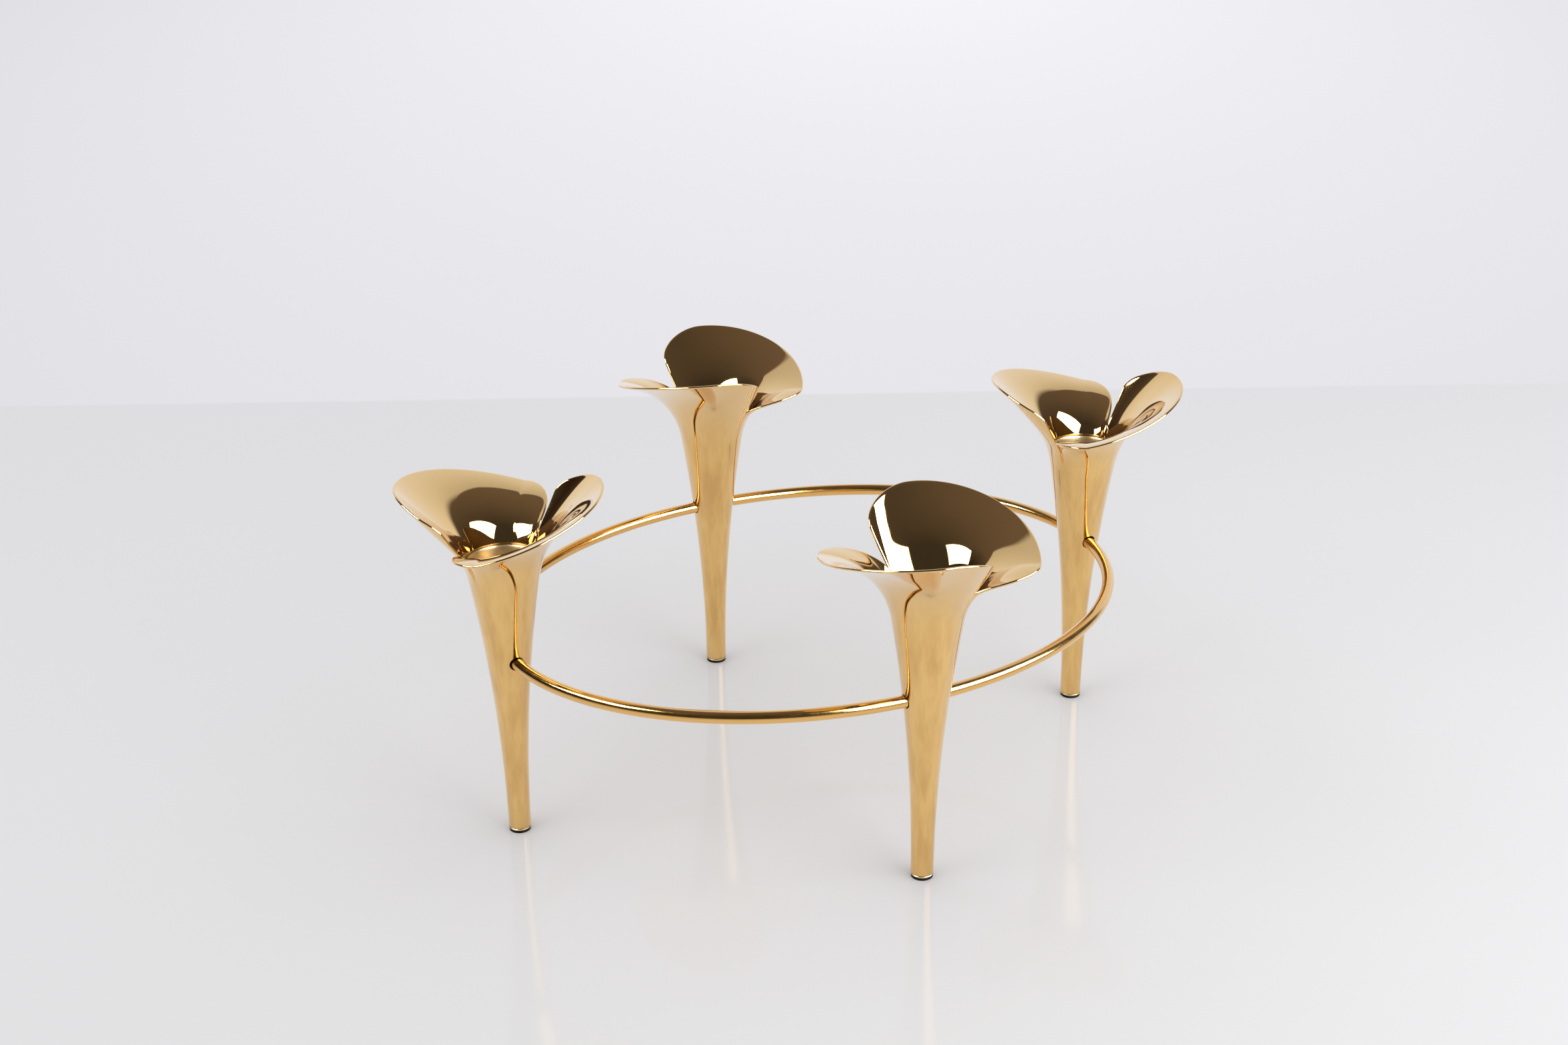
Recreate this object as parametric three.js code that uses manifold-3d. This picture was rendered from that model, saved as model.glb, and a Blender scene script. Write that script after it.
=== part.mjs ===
// A candelabra: four flower-shaped trumpets that stand in an oval of round rod.
// Millimetres, +Z up. The origin is on the ground under the middle of the oval,
// and the oval's long axis runs along X.
import * as THREE from "three";
import { ParametricGeometry } from "three/addons/geometries/ParametricGeometry.js";
import { mergeVertices } from "three/addons/utils/BufferGeometryUtils.js";
import Module from "manifold-3d";

// Oval ring, to the middle of the rod
const RING_HALF_LENGTH = 130;
const RING_HALF_WIDTH = 100.5;
const RING_BELOW_THROAT = 33;
const ROD_DIAMETER = 5;
const ROD_END_SPACE = 3; // between the two rod ends that meet inside a stem

// Foot of each trumpet
const PAD_THICKNESS = 0.9;
const PAD_RADIUS = 4.3;
const FLANGE_THICKNESS = 0.8;
const FLANGE_CHAMFER = 0.3;
const SPIGOT_LENGTH = 12;

// Stem of each trumpet, measured outside
const WALL = 1;
const FOOT_RADIUS = 4.5;
const THROAT_RADIUS = 13.65;
const THROAT_HEIGHT = 111.8;

// Petals: two to a trumpet, each from its leading slit (0 degrees) to the next slit
const PETAL_SPAN = 180;
const SLIT_RADIUS = 17.1;
const SLIT_HEIGHT = 120.9;
const LIP_ANGLE = 36;
const LIP_RADIUS = 40.3;
const LIP_HEIGHT = 134.7;
const CREST_ANGLE = 143;
const CREST_HEIGHT = 149.4;
const TAIL_START_ANGLE = 98;
const TAIL_RADIUS = 29.7;
const TAIL_HEIGHT = 141.2;
const FLAT_LIP_ANGLE = 34; // where the rim lies level
const LEAD_TILT = 56; // rim's slope at the leading slit, degrees from level
const TAIL_TILT = 61; // rim's slope at the trailing slit
const SLIT_TURN = 22; // first slit, turned from the line to the ring's middle
const LEAD_HEIGHT_POWER = 0.44; // how fast the rim climbs from its leading slit
const CLIMB_POWER = 1.13; // from the lip to the crest
const DIP_POWER = 1.65; // from the crest to the tail, in height
const TAIL_POWER = 3.3; // from the widest rim to the tail, in radius
const THROAT_HANDLE = 0.33; // curve handle up the stem, a share of the way to the rim
const RIM_HANDLE = 0.45; // curve handle back from the rim

// Candle cup
const CANDLE_END_RADIUS = 9.5; // tapered foot of a 22 mm candle
const CUP_WALL = 0.9;
const CUP_FLOOR = 4;
const CUP_BELOW_SLIT = 1.5;

// Joint block, drawn up into the stem's taper
const BLOCK_BELOW_ROD = 8;
const BLOCK_ABOVE_ROD = 13;

// Cup screw, 4 mm thread
const CUP_SCREW_RADIUS = 2;
const CUP_SCREW_HEAD_RADIUS = 3.5;
const CUP_SCREW_HEAD = 2;
const CUP_SCREW_KEY_RADIUS = 1.5;
const CUP_SCREW_KEY_DEPTH = 1.2;

// Grub screws, 3 mm thread, one on each rod end
const GRUB_RADIUS = 1.5;
const GRUB_LENGTH = 6;
const GRUB_OFFSET = 5.2; // from the stem's axis
const GRUB_KEY_RADIUS = 0.9;
const GRUB_KEY_DEPTH = 2;

// Clearances
const FIT = 0.3; // between pieces that seat on each other
const PAD_GAP = 0.1; // glue line under the foot plug
const STEM_HOLE_GAP = 0.5; // round a rod where it goes into a stem
const OVERRUN = 1; // how far a cutter runs past the face it opens

// Fineness of the faceted surfaces
const STEM_RINGS = 7;
const PETAL_RINGS = 8;
const ROUND_SEGMENTS = 24;
const SMALL_SEGMENTS = 12;
const ROD_SIDES = 12;
const ROD_STEPS = 20;
const KEY_SIDES = 6;
const OUTLINE_SAMPLES = 60;
const MERGE_DISTANCE = 1e-4;
const PETAL_ANGLES = [0, 2, 5, 9, 14, 21, 31, 45, 62, 82, 102, 122, 140, 155, 167, 175, 179];

const PIECE_COLORS = {
  petal: { color: 0xd9b27a, roughness: 0.12, metalness: 1 },
  turned: { color: 0xc79b58, roughness: 0.35, metalness: 1 },
  rod: { color: 0xd89a45, roughness: 0.15, metalness: 1 },
  screw: { color: 0xb9bcc0, roughness: 0.3, metalness: 1 },
  pad: { color: 0x1d1a18, roughness: 0.85, metalness: 0 },
};

const rodRadius = ROD_DIAMETER / 2;
const ringHeight = THROAT_HEIGHT - RING_BELOW_THROAT;
const padTop = PAD_THICKNESS;
const flangeBottom = padTop + PAD_GAP;
const flangeTop = flangeBottom + FLANGE_THICKNESS;
const stemBase = flangeTop + FIT;
const blockBottom = ringHeight - BLOCK_BELOW_ROD;
const blockTop = ringHeight + BLOCK_ABOVE_ROD;
const cupTop = SLIT_HEIGHT - CUP_BELOW_SLIT;
const cupFloor = heightOfStemRadius(CANDLE_END_RADIUS + CUP_WALL + FIT + WALL);
const cupBottom = cupFloor - CUP_FLOOR;
const cupRecess = cupFloor - CUP_SCREW_HEAD - 2 * FIT;
const cupScrewTip = ringHeight + rodRadius + 2 * FIT;

const wasm = await Module();
wasm.setup();

// Outer radius of the stem: a parabola that is upright at the foot.
function stemRadius(height) {
  const rise = (height - stemBase) / (THROAT_HEIGHT - stemBase);
  return FOOT_RADIUS + (THROAT_RADIUS - FOOT_RADIUS) * rise ** 2;
}

function heightOfStemRadius(radius) {
  const rise = Math.sqrt((radius - FOOT_RADIUS) / (THROAT_RADIUS - FOOT_RADIUS));
  return stemBase + (THROAT_HEIGHT - stemBase) * rise;
}

function stemSlope(height) {
  const span = THROAT_HEIGHT - stemBase;
  return (2 * (THROAT_RADIUS - FOOT_RADIUS) * (height - stemBase)) / span ** 2;
}

// Inner radius of the stem, one wall inside the outer surface.
function boreRadius(height) {
  return stemRadius(height) - WALL * Math.hypot(1, stemSlope(height));
}

// Share of the way from the slit out to the lip, as a quarter sine.
function leadRise(angle) {
  return Math.sin(((angle / LIP_ANGLE) * Math.PI) / 2);
}

// The rim swings out fast from the leading slit and draws in again towards the next.
function rimRadius(angle) {
  if (angle % PETAL_SPAN === 0) return SLIT_RADIUS;
  if (angle < LIP_ANGLE) {
    return SLIT_RADIUS + (LIP_RADIUS - SLIT_RADIUS) * leadRise(angle);
  }
  const fall = Math.max(0, (angle - TAIL_START_ANGLE) / (PETAL_SPAN - TAIL_START_ANGLE));
  return LIP_RADIUS - (LIP_RADIUS - TAIL_RADIUS) * fall ** TAIL_POWER;
}

// The rim climbs from the slit to a low lip, on to the crest, and dips to the tail.
function rimHeight(angle) {
  if (angle % PETAL_SPAN === 0) return SLIT_HEIGHT;
  if (angle < LIP_ANGLE) {
    return SLIT_HEIGHT + (LIP_HEIGHT - SLIT_HEIGHT) * leadRise(angle) ** LEAD_HEIGHT_POWER;
  }
  if (angle < CREST_ANGLE) {
    const climb = (angle - LIP_ANGLE) / (CREST_ANGLE - LIP_ANGLE);
    const rise = Math.sin((climb * Math.PI) / 2) ** CLIMB_POWER;
    return LIP_HEIGHT + (CREST_HEIGHT - LIP_HEIGHT) * rise;
  }
  const dip = (angle - CREST_ANGLE) / (PETAL_SPAN - CREST_ANGLE);
  return CREST_HEIGHT - (CREST_HEIGHT - TAIL_HEIGHT) * dip ** DIP_POWER;
}

// Slope of the petal at its rim: steep at the slits, level at the lip.
function rimTilt(angle) {
  if (angle < FLAT_LIP_ANGLE) return LEAD_TILT * (1 - angle / FLAT_LIP_ANGLE) ** 2;
  return (TAIL_TILT * (angle - FLAT_LIP_ANGLE)) / (PETAL_SPAN - FLAT_LIP_ANGLE);
}

// The petal's outline in radius and height, from the throat to the rim.
function petalCurve(angle) {
  const throat = new THREE.Vector2(THROAT_RADIUS, THROAT_HEIGHT);
  const rim = new THREE.Vector2(rimRadius(angle), rimHeight(angle));
  const reach = throat.distanceTo(rim);
  const tilt = THREE.MathUtils.degToRad(rimTilt(angle));
  const upStem = new THREE.Vector2(stemSlope(THROAT_HEIGHT), 1).normalize();
  const outRim = new THREE.Vector2(Math.cos(tilt), Math.sin(tilt));
  return new THREE.CubicBezierCurve(
    throat,
    throat.clone().addScaledVector(upStem, THROAT_HANDLE * reach),
    rim.clone().addScaledVector(outRim, -RIM_HANDLE * reach),
    rim,
  );
}

// A point of the outer surface: rings 0 to STEM_RINGS on the stem, then the petals.
function outerPoint(turn, ring) {
  const angle = turn % PETAL_SPAN;
  let radius;
  let height;
  if (ring <= STEM_RINGS) {
    height = stemBase + ((THROAT_HEIGHT - stemBase) * ring) / STEM_RINGS;
    radius = stemRadius(height);
  } else {
    const place = petalCurve(angle).getPoint((ring - STEM_RINGS) / PETAL_RINGS);
    radius = place.x;
    height = place.y;
  }
  const bearing = THREE.MathUtils.degToRad(turn);
  return new THREE.Vector3(radius * Math.cos(bearing), radius * Math.sin(bearing), height);
}

// The wall's direction outwards, square to the outline and level round the stem.
function outwards(turn, ring) {
  const step = 0.01;
  const low = outerPoint(turn, Math.max(0, ring - step));
  const high = outerPoint(turn, Math.min(STEM_RINGS + PETAL_RINGS, ring + step));
  const up = high.sub(low);
  const bearing = THREE.MathUtils.degToRad(turn);
  const round = new THREE.Vector3(-Math.sin(bearing), Math.cos(bearing), 0);
  return round.cross(up).normalize();
}

// The wall as one closed loop of points, up the outside and down the inside, carried round.
function trumpetShell() {
  const columns = [...PETAL_ANGLES, ...PETAL_ANGLES.map((angle) => angle + PETAL_SPAN)];
  const rings = STEM_RINGS + PETAL_RINGS + 1;
  const loop = 2 * rings;
  const place = (u, v, target) => {
    const turn = columns[Math.round(u * columns.length) % columns.length];
    const step = Math.round(v * loop) % loop;
    const inside = step >= rings;
    const ring = inside ? loop - 1 - step : step;
    target.copy(outerPoint(turn, ring));
    if (inside) target.addScaledVector(outwards(turn, ring), -WALL);
  };
  return new ParametricGeometry(place, columns.length, loop);
}

// Least radius of the trumpet's inside at a height, all the way round.
function throatRadius(height) {
  if (height <= THROAT_HEIGHT) return boreRadius(height);
  const radii = PETAL_ANGLES.map((angle) => {
    const outline = petalCurve(angle).getPoints(OUTLINE_SAMPLES);
    const above = outline.findIndex((point) => point.y >= height);
    const [low, high] = [outline[above - 1], outline[above]];
    const share = (height - low.y) / (high.y - low.y);
    const slope = (high.x - low.x) / (high.y - low.y);
    return low.x + (high.x - low.x) * share - WALL * Math.hypot(1, slope);
  });
  return Math.min(...radii);
}

// How far the curved rod has left its tangent, a distance along it from the stem's axis.
function sagitta(distance, bend) {
  return bend - Math.sqrt(bend ** 2 - distance ** 2);
}

function toSolid(geometry) {
  geometry.deleteAttribute("normal");
  geometry.deleteAttribute("uv");
  const merged = mergeVertices(geometry, MERGE_DISTANCE);
  return new wasm.Manifold(
    new wasm.Mesh({
      numProp: 3,
      vertProperties: merged.attributes.position.array,
      triVerts: new Uint32Array(merged.index.array),
    }),
  );
}

function toGeometry(solid) {
  const { vertProperties, triVerts } = solid.getMesh();
  const geometry = new THREE.BufferGeometry();
  geometry.setAttribute("position", new THREE.BufferAttribute(vertProperties, 3));
  geometry.setIndex(new THREE.BufferAttribute(triVerts, 1));
  geometry.computeVertexNormals();
  return geometry;
}

// A turned piece from [radius, height] points, listed from the bottom up the outside.
function turned(points, segments) {
  const outline = points.map(([radius, height]) => new THREE.Vector2(radius, height));
  return new THREE.LatheGeometry(outline, segments).rotateX(Math.PI / 2);
}

function uprightRod(radius, bottom, top, segments) {
  const geometry = new THREE.CylinderGeometry(radius, radius, top - bottom, segments);
  return geometry.rotateX(Math.PI / 2).translate(0, 0, (top + bottom) / 2);
}

// A straight hole for the rod, along Y through the stem's axis at the ring's height. The rod
// bends towards the ring's middle, so the hole is moved by half of that and opened by as much.
function rodHole(reach, gap, bend) {
  const sideways = sagitta(reach, bend) / 2;
  const radius = rodRadius + gap + sideways;
  const length = 2 * (reach + OVERRUN);
  const hole = new THREE.CylinderGeometry(radius, radius, length, ROUND_SEGMENTS);
  return toSolid(hole.translate(-sideways, 0, ringHeight));
}

function makeTrumpet(bend) {
  const shell = trumpetShell().rotateZ(THREE.MathUtils.degToRad(SLIT_TURN));
  return toGeometry(toSolid(shell).subtract(rodHole(stemRadius(ringHeight), STEM_HOLE_GAP, bend)));
}

function makeJointBlock(bend) {
  const bottomRadius = boreRadius(blockBottom) - FIT;
  const topRadius = boreRadius(blockTop) - FIT;
  const outline = [
    [0, blockBottom],
    [bottomRadius, blockBottom],
    [boreRadius(ringHeight) - FIT, ringHeight],
    [topRadius, blockTop],
    [0, blockTop],
  ];
  let block = toSolid(turned(outline, ROUND_SEGMENTS));
  block = block.subtract(rodHole(topRadius, FIT, bend));
  const above = blockTop + OVERRUN;
  const screwHole = uprightRod(CUP_SCREW_RADIUS + FIT, cupScrewTip - FIT, above, SMALL_SEGMENTS);
  block = block.subtract(toSolid(screwHole));
  for (const side of [-1, 1]) {
    const grubHole = uprightRod(GRUB_RADIUS + FIT, ringHeight, above, SMALL_SEGMENTS);
    block = block.subtract(toSolid(grubHole.translate(0, side * GRUB_OFFSET, 0)));
  }
  return toGeometry(block);
}

function makeCandleCup() {
  const middle = (cupTop + cupFloor) / 2;
  const outer = (height) => throatRadius(height) - FIT;
  const hole = CUP_SCREW_RADIUS + FIT;
  const recess = CUP_SCREW_HEAD_RADIUS + FIT;
  const outline = [
    [hole, cupBottom],
    [outer(cupBottom), cupBottom],
    [outer(cupFloor), cupFloor],
    [outer(middle), middle],
    [outer(cupTop), cupTop],
    [outer(cupTop) - CUP_WALL, cupTop],
    [outer(middle) - CUP_WALL, middle],
    [outer(cupFloor) - CUP_WALL, cupFloor],
    [recess, cupFloor],
    [recess, cupRecess],
    [hole, cupRecess],
    [hole, cupBottom],
  ];
  return turned(outline, ROUND_SEGMENTS);
}

// A six-sided key socket sunk into a screw's top.
function keySocket(radius, depth, top) {
  return toSolid(uprightRod(radius, top - depth, top + depth, KEY_SIDES));
}

function makeCupScrew() {
  const seat = cupRecess + FIT;
  const top = seat + CUP_SCREW_HEAD;
  const outline = [
    [0, cupScrewTip],
    [CUP_SCREW_RADIUS, cupScrewTip],
    [CUP_SCREW_RADIUS, seat],
    [CUP_SCREW_HEAD_RADIUS, seat],
    [CUP_SCREW_HEAD_RADIUS, top],
    [0, top],
  ];
  const screw = toSolid(turned(outline, SMALL_SEGMENTS));
  return toGeometry(screw.subtract(keySocket(CUP_SCREW_KEY_RADIUS, CUP_SCREW_KEY_DEPTH, top)));
}

function makeGrubScrew() {
  const tip = ringHeight + rodRadius + FIT;
  const top = tip + GRUB_LENGTH;
  const outline = [
    [0, tip],
    [GRUB_RADIUS, tip],
    [GRUB_RADIUS, top],
    [0, top],
  ];
  const screw = toSolid(turned(outline, SMALL_SEGMENTS));
  return toGeometry(screw.subtract(keySocket(GRUB_KEY_RADIUS, GRUB_KEY_DEPTH, top)));
}

function makeFootPlug() {
  const spigot = boreRadius(stemBase) - FIT;
  const outline = [
    [0, flangeBottom],
    [FOOT_RADIUS - FLANGE_CHAMFER, flangeBottom],
    [FOOT_RADIUS, flangeBottom + FLANGE_CHAMFER],
    [FOOT_RADIUS, flangeTop],
    [spigot, flangeTop],
    [spigot, flangeTop + SPIGOT_LENGTH],
    [0, flangeTop + SPIGOT_LENGTH],
  ];
  return turned(outline, ROUND_SEGMENTS);
}

function makeFootPad() {
  const outline = [
    [0, 0],
    [PAD_RADIUS, 0],
    [PAD_RADIUS, padTop],
    [0, padTop],
  ];
  return turned(outline, ROUND_SEGMENTS);
}

// A quarter of the oval, between two stems, stopping short of their axes.
class RingArc extends THREE.Curve {
  constructor(startDegrees) {
    super();
    const start = THREE.MathUtils.degToRad(startDegrees);
    const fromEnd = startDegrees % 180 === 0;
    const endSpace = ROD_END_SPACE / 2;
    const first = endSpace / (fromEnd ? RING_HALF_WIDTH : RING_HALF_LENGTH);
    const last = endSpace / (fromEnd ? RING_HALF_LENGTH : RING_HALF_WIDTH);
    this.from = start + first;
    this.to = start + Math.PI / 2 - last;
  }

  getPoint(t, target = new THREE.Vector3()) {
    const angle = THREE.MathUtils.lerp(this.from, this.to, t);
    return target.set(
      RING_HALF_LENGTH * Math.cos(angle),
      RING_HALF_WIDTH * Math.sin(angle),
      ringHeight,
    );
  }
}

function makeRingRod(startDegrees) {
  const section = new THREE.Shape().absarc(0, 0, rodRadius, 0, 2 * Math.PI);
  return new THREE.ExtrudeGeometry(section, {
    curveSegments: ROD_SIDES / 2,
    steps: ROD_STEPS,
    extrudePath: new RingArc(startDegrees),
  });
}

function piece(name, geometry, finish) {
  const mesh = new THREE.Mesh(geometry, new THREE.MeshStandardMaterial(PIECE_COLORS[finish]));
  mesh.name = name;
  return mesh;
}

// One flower with its own X axis pointing away from the ring's middle.
function makeFlower(place, bend) {
  const flower = new THREE.Group();
  flower.add(piece(`trumpet_${place}`, makeTrumpet(bend), "petal"));
  flower.add(piece(`candle_cup_${place}`, makeCandleCup(), "turned"));
  flower.add(piece(`cup_screw_${place}`, makeCupScrew(), "screw"));
  flower.add(piece(`joint_block_${place}`, makeJointBlock(bend), "turned"));
  flower.add(piece(`foot_plug_${place}`, makeFootPlug(), "turned"));
  flower.add(piece(`foot_pad_${place}`, makeFootPad(), "pad"));
  for (const [side, offset] of [["near", -GRUB_OFFSET], ["far", GRUB_OFFSET]]) {
    const grub = piece(`grub_screw_${place}_${side}`, makeGrubScrew(), "screw");
    grub.position.y = offset;
    flower.add(grub);
  }
  return flower;
}

const candelabra = new THREE.Group();
const PLACES = ["right", "back", "left", "front"];
PLACES.forEach((place, index) => {
  const onLongAxis = index % 2 === 0;
  const distance = onLongAxis ? RING_HALF_LENGTH : RING_HALF_WIDTH;
  const across = onLongAxis ? RING_HALF_WIDTH : RING_HALF_LENGTH;
  const bearing = (index * Math.PI) / 2;
  const flower = makeFlower(place, across ** 2 / distance);
  flower.position.set(distance * Math.cos(bearing), distance * Math.sin(bearing), 0);
  flower.rotation.z = bearing;
  candelabra.add(flower);
  const next = PLACES[(index + 1) % PLACES.length];
  candelabra.add(piece(`ring_rod_${place}_${next}`, makeRingRod(index * 90), "rod"));
});

export default candelabra;
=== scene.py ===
"""Looks of a four-flower brass candelabra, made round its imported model.

Metres, +Z up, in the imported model's own frame: the ground is z = 0 and the oval ring's long
axis runs along X. Each flower is a spun brass trumpet whose bell is slit twice and formed into
two petals that wind round each other.
"""

import math

import bpy
import numpy as np
from bpy.props import FloatProperty, FloatVectorProperty, IntProperty, PointerProperty
from mathutils import Matrix, Vector


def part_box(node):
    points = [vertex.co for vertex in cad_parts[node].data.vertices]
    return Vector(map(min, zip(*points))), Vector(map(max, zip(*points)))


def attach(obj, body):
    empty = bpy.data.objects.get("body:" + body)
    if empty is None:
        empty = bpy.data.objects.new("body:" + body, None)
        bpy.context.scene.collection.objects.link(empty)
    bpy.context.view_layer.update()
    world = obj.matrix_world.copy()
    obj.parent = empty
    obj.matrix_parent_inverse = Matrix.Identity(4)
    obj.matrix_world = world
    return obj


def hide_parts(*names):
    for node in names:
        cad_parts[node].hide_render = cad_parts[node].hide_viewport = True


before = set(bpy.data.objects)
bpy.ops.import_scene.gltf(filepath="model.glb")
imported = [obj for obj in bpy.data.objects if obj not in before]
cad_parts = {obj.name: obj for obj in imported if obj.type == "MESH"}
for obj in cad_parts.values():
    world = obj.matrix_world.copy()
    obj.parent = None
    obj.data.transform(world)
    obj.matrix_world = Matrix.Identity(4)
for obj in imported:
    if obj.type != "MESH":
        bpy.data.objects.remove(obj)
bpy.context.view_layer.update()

bl_info = {
    "name": "Four-flower brass candelabra",
    "version": (1, 0, 0),
    "blender": (4, 5, 0),
    "location": "View3D > Sidebar > Candelabra",
    "description": "Makes the visible surfaces of a brass candelabra round its packed model",
    "category": "Add Mesh",
}

BODY = "root"
PLACES = ("right", "back", "left", "front")
MM = 0.001
TURNED = "turned_brass"  # slot of cups and plugs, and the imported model's own plain material


def linear(hex_colour):
    """sRGB hex to linear red, green, blue and full alpha."""
    parts = [int(hex_colour[i:i + 2], 16) / 255 for i in (1, 3, 5)]
    return [p / 12.92 if p <= 0.04045 else ((p + 0.055) / 1.055) ** 2.4 for p in parts] + [1.0]


def size(name, description, millimetres):
    """A length property, given in millimetres and kept in metres."""
    return FloatProperty(name=name, description=description, default=millimetres * MM,
                         min=0, unit="LENGTH", precision=4)


def angle(name, description, degrees):
    """An angle property, given in degrees."""
    return FloatProperty(name=name, description=description, default=math.radians(degrees),
                         subtype="ANGLE")


def colour(name, description, hex_colour):
    """A colour property, given as sRGB hex and kept linear."""
    return FloatVectorProperty(name=name, description=description, size=4, min=0, max=1,
                               default=linear(hex_colour), subtype="COLOR")


def count(name, description, number, least):
    """A whole-number property and the least that it may be."""
    return IntProperty(name=name, description=description, default=number, min=least)


class TrumpetSizes(bpy.types.PropertyGroup):
    """Sizes of one flower, measured on its outer surface."""
    wall: size("Wall", "Thickness of the spun sheet", 1)
    throat_radius: size("Throat radius", "Outside, where the stem ends and the petals start", 13.65)
    throat_height: size("Throat height", "Height of the same place above the ground", 111.8)
    slit_height: size("Slit height", "Bottom of the two slits", 120.9)
    lip_angle: angle("Lip angle", "From the leading slit to the full width of the petal", 36)
    lip_radius: size("Lip radius", "Widest part of the rim", 40.3)
    lip_height: size("Lip height", "Height of the low lip", 134.7)
    crest_angle: angle("Crest angle", "From the leading slit to the highest part of the rim", 143)
    crest_height: size("Crest height", "Height of the rim there", 149.4)
    tail_start: angle("Tail start", "Where the rim starts to draw in", 98)
    tail_radius: size("Tail radius", "Rim at the trailing slit", 29.7)
    tail_height: size("Tail height", "Height of the rim there", 141.2)
    flat_angle: angle("Level angle", "Where the rim lies level", 34)
    lead_tilt: angle("Leading slope", "Slope of the rim at the leading slit", 56)
    tail_tilt: angle("Trailing slope", "Slope of the rim at the trailing slit", 61)
    slit_turn: angle("Slit turn", "First slit, turned from the line to the ring's middle", 22)
    edge_bulge: size("Edge bulge", "How far the polished sheet edge is rounded", 0.45)
    hole_gap: size("Hole gap", "Round the rod where it goes into a stem", 0.2)


class RingSizes(bpy.types.PropertyGroup):
    """Sizes of the oval ring, to the middle of the rod."""
    rod_radius: size("Rod radius", "Half of the round stock", 2.5)
    end_space: size("End space", "Between the two rod ends that meet inside a stem", 3)
    end_chamfer: size("End chamfer", "On the cut ends of the rod", 0.3)


class CupSizes(bpy.types.PropertyGroup):
    """Sizes of the candle cup and of the screw in its floor."""
    wall: size("Wall", "Thickness of the turned cup", 0.9)
    lip: size("Lip", "Thickness of its wall at the mouth", 0.25)
    floor: size("Floor", "Thickness of the cup's floor", 4)
    hole_radius: size("Hole radius", "Screw hole in the floor", 2.3)
    recess_radius: size("Recess radius", "Round the screw's head", 3.8)
    recess_depth: size("Recess depth", "The head lies just below the floor", 2.6)
    screw_radius: size("Screw radius", "Shank of the screw", 2)
    head_radius: size("Head radius", "Socket head of the screw", 3.5)
    head_height: size("Head height", "Socket head of the screw", 2)
    key_radius: size("Key radius", "Corner of the hexagon socket", 1.5)
    key_depth: size("Key depth", "Depth of the hexagon socket", 1.2)


class FootSizes(bpy.types.PropertyGroup):
    """Sizes of the plug and pad under each stem."""
    spigot_radius: size("Spigot radius", "The part of the plug inside the stem", 3.2)
    flange: size("Flange", "Thickness of the plug's visible collar", 0.8)
    chamfer: size("Chamfer", "Bright bevel round the bottom of the collar", 0.3)
    pad_round: size("Pad rounding", "Worn edge of the rubber pad", 0.12)


class Finishes(bpy.types.PropertyGroup):
    """Colours of the materials."""
    brass: colour("Brass", "Polished brass of the petals and stems, under its lacquer", "#F4C775")
    # partly duller buffing and partly a painted reflection of the board's shading on the stems
    worn: colour("Worn brass", "Clouds on the stems, where the buffing is duller", "#E0AE5E")
    # painted shade: the throat's deeper gold stands in for the shade inside the trumpet
    bare: colour("Bare brass", "Inside the throats, where there is no lacquer", "#AD8241")
    rod: colour("Rod", "Polished brass of the ring, a little deeper", "#F2BE68")
    zinc: colour("Zinc", "Plating of the screws", "#B9BCC0")
    pad: colour("Pad", "Rubber under the feet", "#100E0D")
    board: colour("Board", "Pale glossy board that it stands on", "#EEEEEF")
    backdrop: colour("Backdrop", "Paper behind the board, where it is brightest", "#F5F4F9")
    backdrop_edge: colour("Backdrop edge", "The same paper, away from the light", "#D9D8DD")


class Fineness(bpy.types.PropertyGroup):
    """How finely the curved surfaces are divided."""
    rim_columns: count("Rim columns", "From a petal's slit to the tail's corner", 118, 12)
    corner_columns: count("Corner columns", "Round the tail's corner", 12, 3)
    tail_columns: count("Tail columns", "Down the tail's edge to the slit", 26, 3)
    stem_rows: count("Stem rows", "Up the stem", 48, 6)
    petal_rows: count("Petal rows", "From the throat to the rim", 64, 6)
    turned_columns: count("Turned columns", "Round a turned piece", 128, 24)
    rod_sides: count("Rod sides", "Round the rod", 40, 8)
    rod_steps: count("Rod steps", "Along a rod", 200, 20)


def sizes_of(group):
    """The scene's settings of one group, such as trumpet or ring."""
    return getattr(bpy.context.scene, "candelabra_" + group)


def centre_of(place):
    """The middle of a flower's foot on the ground."""
    low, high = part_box("foot_pad_" + place)
    return Vector(((low.x + high.x) / 2, (low.y + high.y) / 2, low.z))


def bearing_of(place):
    """The direction from the ring's middle to a flower."""
    centre = centre_of(place)
    return math.atan2(centre.y, centre.x)


def ring_height():
    """Height of the middle of the rod."""
    low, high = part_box("ring_rod_right_back")
    return (low.z + high.z) / 2


# Meshes from grids of points

CRISP_ABOVE = math.radians(40)  # edges sharper than this are shaded as edges


def mesh_from(name, points, faces):
    """A smooth-shaded object from points and a list of faces, with its sharp edges kept crisp."""
    mesh = bpy.data.meshes.new(name)
    mesh.from_pydata(points.tolist(), [], faces)
    mesh.polygons.foreach_set("use_smooth", np.ones(len(mesh.polygons), bool))
    mesh.set_sharp_from_angle(angle=CRISP_ABOVE)
    piece = bpy.data.objects.new(name, mesh)
    bpy.context.scene.collection.objects.link(piece)
    return piece


def ring_quads(columns, rows, rows_close):
    """Quads of a grid whose columns close on themselves and whose rows may too. Point
    (column, row) is number column * rows + row."""
    column, row = np.meshgrid(np.arange(columns), np.arange(rows if rows_close else rows - 1),
                              indexing="ij")
    next_column, next_row = (column + 1) % columns, (row + 1) % rows
    corners = [column * rows + row, next_column * rows + row,
               next_column * rows + next_row, column * rows + next_row]
    return np.stack([corner.ravel() for corner in corners], axis=1)


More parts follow.
